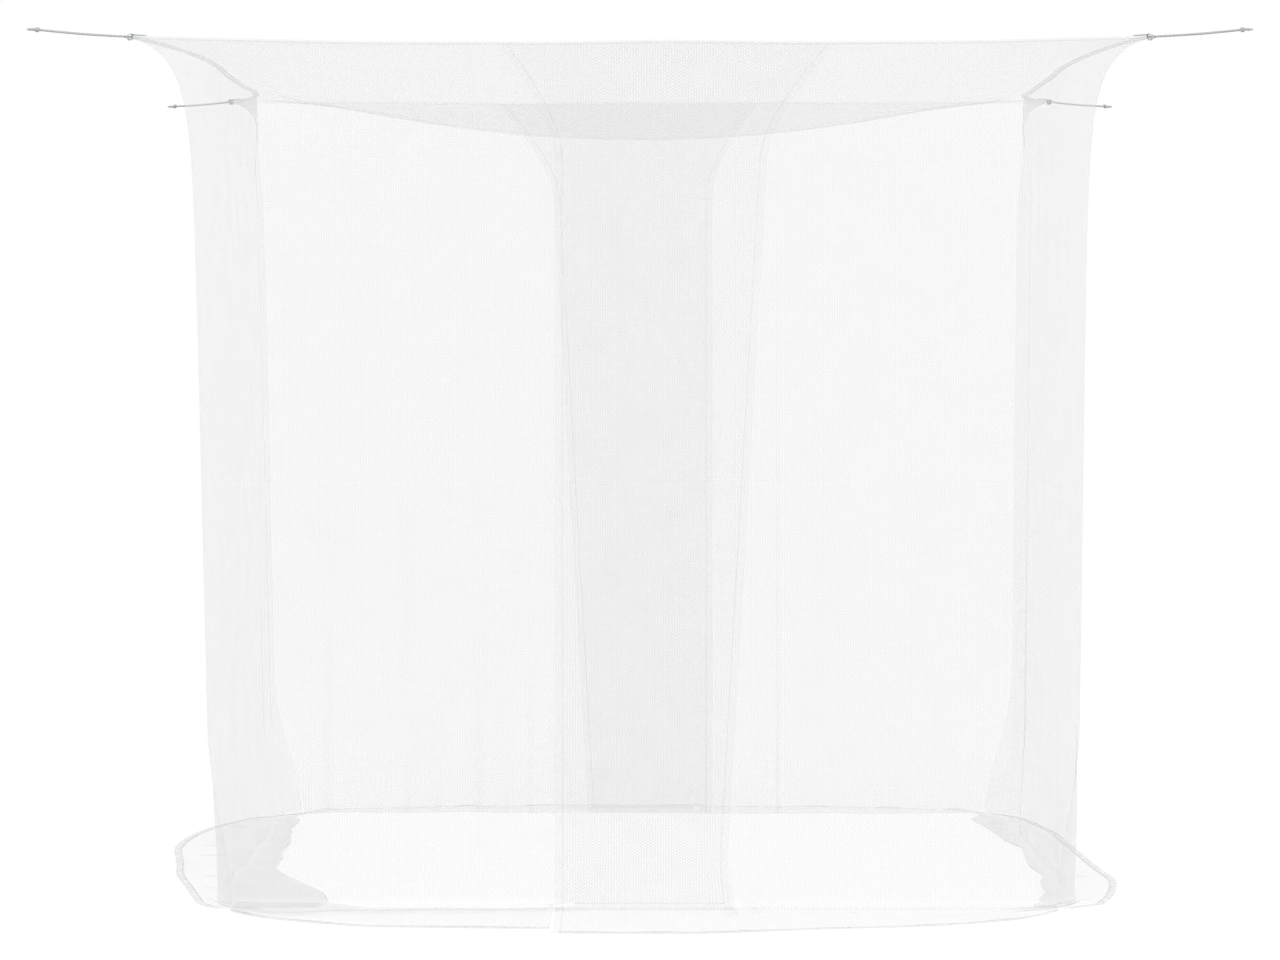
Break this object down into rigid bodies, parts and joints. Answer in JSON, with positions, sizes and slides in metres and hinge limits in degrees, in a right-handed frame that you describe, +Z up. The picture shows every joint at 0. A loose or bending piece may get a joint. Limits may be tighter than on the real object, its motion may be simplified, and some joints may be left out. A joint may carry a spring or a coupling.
{
  "type": "hanging mosquito net",
  "caption": "Box of white mesh hung by its roof corners on cords, with overlapping front and back curtains that fold back to open, and a skirt that lies on the floor.",
  "frame": {"origin": "middle of the hanging points, at the height of the cords; the floor lies 1.92 m below it", "axes": "+Z up, -Y out of the front where the curtains overlap, +X to the right seen from the front"},
  "size_m": [2.6112, 2.4726, 1.9275],
  "materials": {
    "mesh_cloth": "fine knitted polyester mesh, see-through",
    "hem_tape": "folded and stitched hem",
    "cord": "braided polyester cord"
  },
  "bodies": {
    "canopy": {"roof_panel": "mesh_cloth", "front_roof_tape": "hem_tape", "right_roof_tape": "hem_tape", "back_roof_tape": "hem_tape", "left_roof_tape": "hem_tape", "left_wall": "mesh_cloth", "left_wall_bottom_hem": "hem_tape", "right_wall": "mesh_cloth", "right_wall_bottom_hem": "hem_tape", "front_right_panel": "mesh_cloth", "front_right_panel_bottom_hem": "hem_tape", "front_right_upper_edge_hem": "hem_tape", "front_left_panel": "mesh_cloth", "front_left_panel_bottom_hem": "hem_tape", "front_left_upper_edge_hem": "hem_tape", "back_left_panel": "mesh_cloth", "back_left_panel_bottom_hem": "hem_tape", "back_left_upper_edge_hem": "hem_tape", "back_right_panel": "mesh_cloth", "back_right_panel_bottom_hem": "hem_tape", "back_right_upper_edge_hem": "hem_tape", "front_left_corner_loop": "hem_tape", "front_right_corner_loop": "hem_tape", "back_left_corner_loop": "hem_tape", "back_right_corner_loop": "hem_tape"},
    "front_right_curtain_flap": {"front_right_flap": "mesh_cloth", "front_right_flap_edge_hem": "hem_tape", "front_right_flap_bottom_hem": "hem_tape"},
    "front_left_curtain_flap": {"front_left_flap": "mesh_cloth", "front_left_flap_edge_hem": "hem_tape", "front_left_flap_bottom_hem": "hem_tape"},
    "back_left_curtain_flap": {"back_left_flap": "mesh_cloth", "back_left_flap_edge_hem": "hem_tape", "back_left_flap_bottom_hem": "hem_tape"},
    "back_right_curtain_flap": {"back_right_flap": "mesh_cloth", "back_right_flap_edge_hem": "hem_tape", "back_right_flap_bottom_hem": "hem_tape"},
    "front_left_hitch": {"front_left_cord_hitch": "cord"},
    "front_left_hanging_cord": {"front_left_cord": "cord", "front_left_hanging_eye": "cord"},
    "front_right_hitch": {"front_right_cord_hitch": "cord"},
    "front_right_hanging_cord": {"front_right_cord": "cord", "front_right_hanging_eye": "cord"},
    "back_left_hitch": {"back_left_cord_hitch": "cord"},
    "back_left_hanging_cord": {"back_left_cord": "cord", "back_left_hanging_eye": "cord"},
    "back_right_hitch": {"back_right_cord_hitch": "cord"},
    "back_right_hanging_cord": {"back_right_cord": "cord", "back_right_hanging_eye": "cord"}
  },
  "joints": [
    {"name": "front_right_fold", "type": "hinge", "parent": "canopy", "child": "front_right_curtain_flap", "pos_m": [0.8, -0.9555, -1.92], "axis": [-0.504, 0, 0.8637], "range_deg": [0, 120]},
    {"name": "front_left_fold", "type": "hinge", "parent": "canopy", "child": "front_left_curtain_flap", "pos_m": [-0.15, -0.9445, -1.92], "axis": [0.2407, 0, 0.9706], "range_deg": [0, 110]},
    {"name": "back_left_fold", "type": "hinge", "parent": "canopy", "child": "back_left_curtain_flap", "pos_m": [-0.74, 0.8675, -1.92], "axis": [0.4832, 0.0312, 0.875], "range_deg": [0, 120]},
    {"name": "back_right_fold", "type": "hinge", "parent": "canopy", "child": "back_right_curtain_flap", "pos_m": [0.15, 0.8565, -1.92], "axis": [-0.2144, 0.0348, 0.9761], "range_deg": [0, 110]},
    {"name": "front_left_swivel", "type": "hinge", "parent": "canopy", "child": "front_left_hitch", "pos_m": [-1.11561, -1.00561, 0], "axis": [0, 0, 1], "range_deg": [-80, 80]},
    {"name": "front_left_cord_swing", "type": "hinge", "parent": "front_left_hitch", "child": "front_left_hanging_cord", "pos_m": [-1.12056, -1.01056, 0], "axis": [-0.7071, 0.7071, 0], "range_deg": [-90, 80]},
    {"name": "front_right_swivel", "type": "hinge", "parent": "canopy", "child": "front_right_hitch", "pos_m": [1.11561, -1.00561, 0], "axis": [0, 0, 1], "range_deg": [-80, 80]},
    {"name": "front_right_cord_swing", "type": "hinge", "parent": "front_right_hitch", "child": "front_right_hanging_cord", "pos_m": [1.12056, -1.01056, 0], "axis": [-0.7071, -0.7071, 0], "range_deg": [-90, 80]},
    {"name": "back_left_swivel", "type": "hinge", "parent": "canopy", "child": "back_left_hitch", "pos_m": [-1.11561, 1.00561, 0], "axis": [0, 0, 1], "range_deg": [-80, 80]},
    {"name": "back_left_cord_swing", "type": "hinge", "parent": "back_left_hitch", "child": "back_left_hanging_cord", "pos_m": [-1.12056, 1.01056, 0], "axis": [0.7071, 0.7071, 0], "range_deg": [-90, 80]},
    {"name": "back_right_swivel", "type": "hinge", "parent": "canopy", "child": "back_right_hitch", "pos_m": [1.11561, 1.00561, 0], "axis": [0, 0, 1], "range_deg": [-80, 80]},
    {"name": "back_right_cord_swing", "type": "hinge", "parent": "back_right_hitch", "child": "back_right_hanging_cord", "pos_m": [1.12056, 1.01056, 0], "axis": [0.7071, -0.7071, 0], "range_deg": [-90, 80]}
  ]
}
